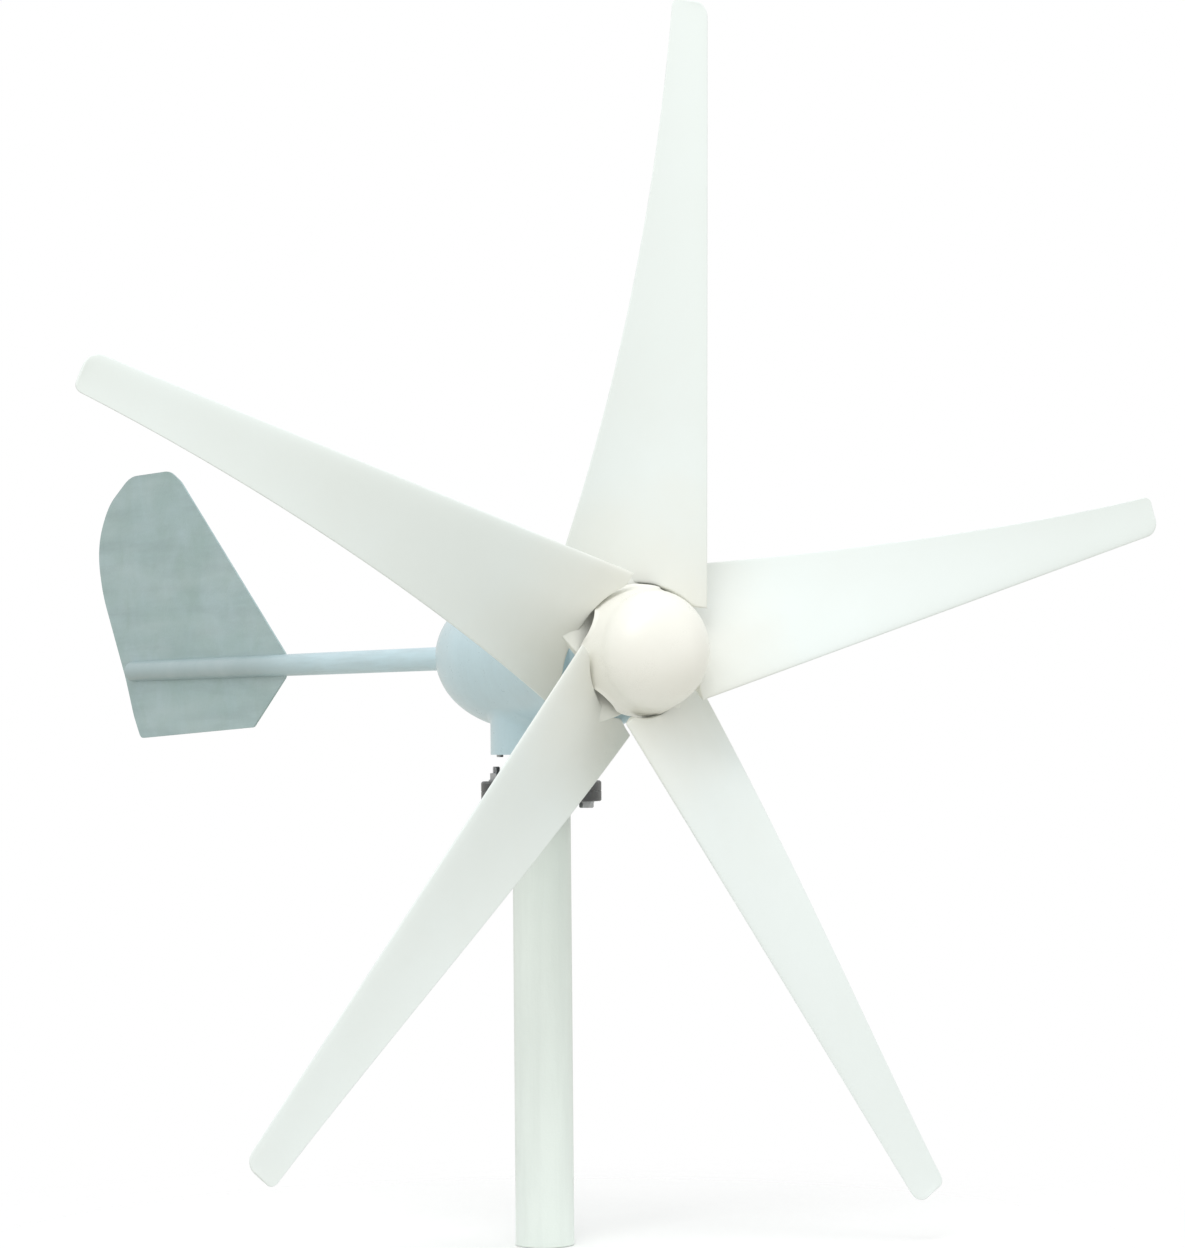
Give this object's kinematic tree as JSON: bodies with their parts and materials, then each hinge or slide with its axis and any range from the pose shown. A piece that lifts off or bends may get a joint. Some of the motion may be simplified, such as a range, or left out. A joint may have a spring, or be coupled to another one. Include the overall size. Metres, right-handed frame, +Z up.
{
  "type": "small wind turbine",
  "caption": "Small upwind wind turbine: twisted blades on a domed hub, egg-shaped generator body free to yaw on a flanged mast top, fixed boom and tail plate.",
  "frame": {"origin": "centre of the open bottom end of the mast tube, on the yaw axis", "axes": "+Z up along the mast and the yaw axis; the rotor axis is along Y with the nose towards -Y and the tail towards +Y"},
  "size_m": [1.2405, 1.4154, 1.2559],
  "materials": {
    "mast_paint": "satin off-white powder coat",
    "dark_steel": "dark grey painted steel",
    "body_paint": "satin pale blue-grey paint on a die casting",
    "tail_paint": "mottled blue-grey painted sheet steel",
    "blade_nylon": "moulded glass-filled nylon, off-white",
    "nose_plastic": "moulded plastic, cream white",
    "zinc_steel": "zinc-plated fasteners",
    "hub_steel": "black-painted steel",
    "turned_steel": "turned bright steel",
    "bearing_steel": "ground bearing steel",
    "lamination": "stacked electrical steel",
    "copper_winding": "enamelled copper wire",
    "magnet": "nickel-plated magnets",
    "bare_casting": "bare machined die casting",
    "seal_rubber": "black nitrile rubber",
    "insulator": "brown phenolic insulator",
    "slip_brass": "polished slip-ring brass",
    "brush_carbon": "copper-graphite brush",
    "spring_steel": "spring wire"
  },
  "bodies": {
    "mast": {"mast_tube": "mast_paint", "mast_flange": "dark_steel", "yaw_spindle": "dark_steel", "flange_bolts": "zinc_steel", "flange_washers": "zinc_steel", "flange_nuts": "zinc_steel", "lower_bearing_inner": "bearing_steel", "upper_bearing_inner": "bearing_steel", "yaw_lock_nut": "turned_steel", "neck_seal": "seal_rubber", "slip_ring_sleeve": "insulator", "slip_rings": "slip_brass"},
    "nacelle": {"body_casting": "body_paint", "front_cover": "body_paint", "cover_screws": "zinc_steel", "shaft_seal": "seal_rubber", "rear_bell": "bare_casting", "bell_screws": "zinc_steel", "stator_core": "lamination", "stator_coils": "copper_winding", "front_bearing_outer": "bearing_steel", "rear_bearing_outer": "bearing_steel", "lower_bearing_outer": "bearing_steel", "upper_bearing_outer": "bearing_steel", "neck_plate": "body_paint", "neck_screws": "zinc_steel", "brush_holder": "insulator", "brushes": "brush_carbon", "brush_springs": "spring_steel", "brush_screws": "zinc_steel", "tail_boom": "body_paint", "boom_set_screws": "zinc_steel", "tail_plate": "tail_paint"},
    "rotor": {"hub_plate": "hub_steel", "clamp_plate": "hub_steel", "blade_1": "blade_nylon", "blade_2": "blade_nylon", "blade_3": "blade_nylon", "blade_4": "blade_nylon", "blade_5": "blade_nylon", "blade_bolts": "zinc_steel", "blade_nuts": "zinc_steel", "nose_cone": "nose_plastic", "nose_screws": "zinc_steel", "rotor_shaft": "turned_steel", "hub_key": "turned_steel", "shaft_washer": "zinc_steel", "shaft_nut": "zinc_steel", "magnet_core": "turned_steel", "rotor_magnets": "magnet", "front_bearing_inner": "bearing_steel", "rear_bearing_inner": "bearing_steel"},
    "front_balls": {"front_ball_set": "bearing_steel"},
    "rear_balls": {"rear_ball_set": "bearing_steel"},
    "lower_yaw_balls": {"lower_ball_set": "bearing_steel"},
    "upper_yaw_balls": {"upper_ball_set": "bearing_steel"}
  },
  "joints": [
    {"name": "yaw", "type": "hinge", "parent": "mast", "child": "nacelle", "pos_m": [0, 0, 0.54], "axis": [0, 0, 1], "continuous": true},
    {"name": "rotor_spin", "type": "hinge", "parent": "nacelle", "child": "rotor", "pos_m": [0, -0.215, 0.607], "axis": [0, 1, 0], "continuous": true},
    {"name": "front_balls_roll", "type": "hinge", "parent": "nacelle", "child": "front_balls", "pos_m": [0, -0.134, 0.607], "axis": [0, 1, 0], "continuous": true},
    {"name": "rear_balls_roll", "type": "hinge", "parent": "nacelle", "child": "rear_balls", "pos_m": [0, -0.046, 0.607], "axis": [0, 1, 0], "continuous": true},
    {"name": "lower_yaw_balls_roll", "type": "hinge", "parent": "mast", "child": "lower_yaw_balls", "pos_m": [0, 0, 0.5155], "axis": [0, 0, 1], "continuous": true},
    {"name": "upper_yaw_balls_roll", "type": "hinge", "parent": "mast", "child": "upper_yaw_balls", "pos_m": [0, 0, 0.5625], "axis": [0, 0, 1], "continuous": true}
  ],
  "couplings": [
    {"joint": "front_balls_roll", "follows": "rotor_spin", "ratio": 0.3815},
    {"joint": "rear_balls_roll", "follows": "rotor_spin", "ratio": 0.3818},
    {"joint": "lower_yaw_balls_roll", "follows": "yaw", "ratio": 0.5735},
    {"joint": "upper_yaw_balls_roll", "follows": "yaw", "ratio": 0.584}
  ]
}
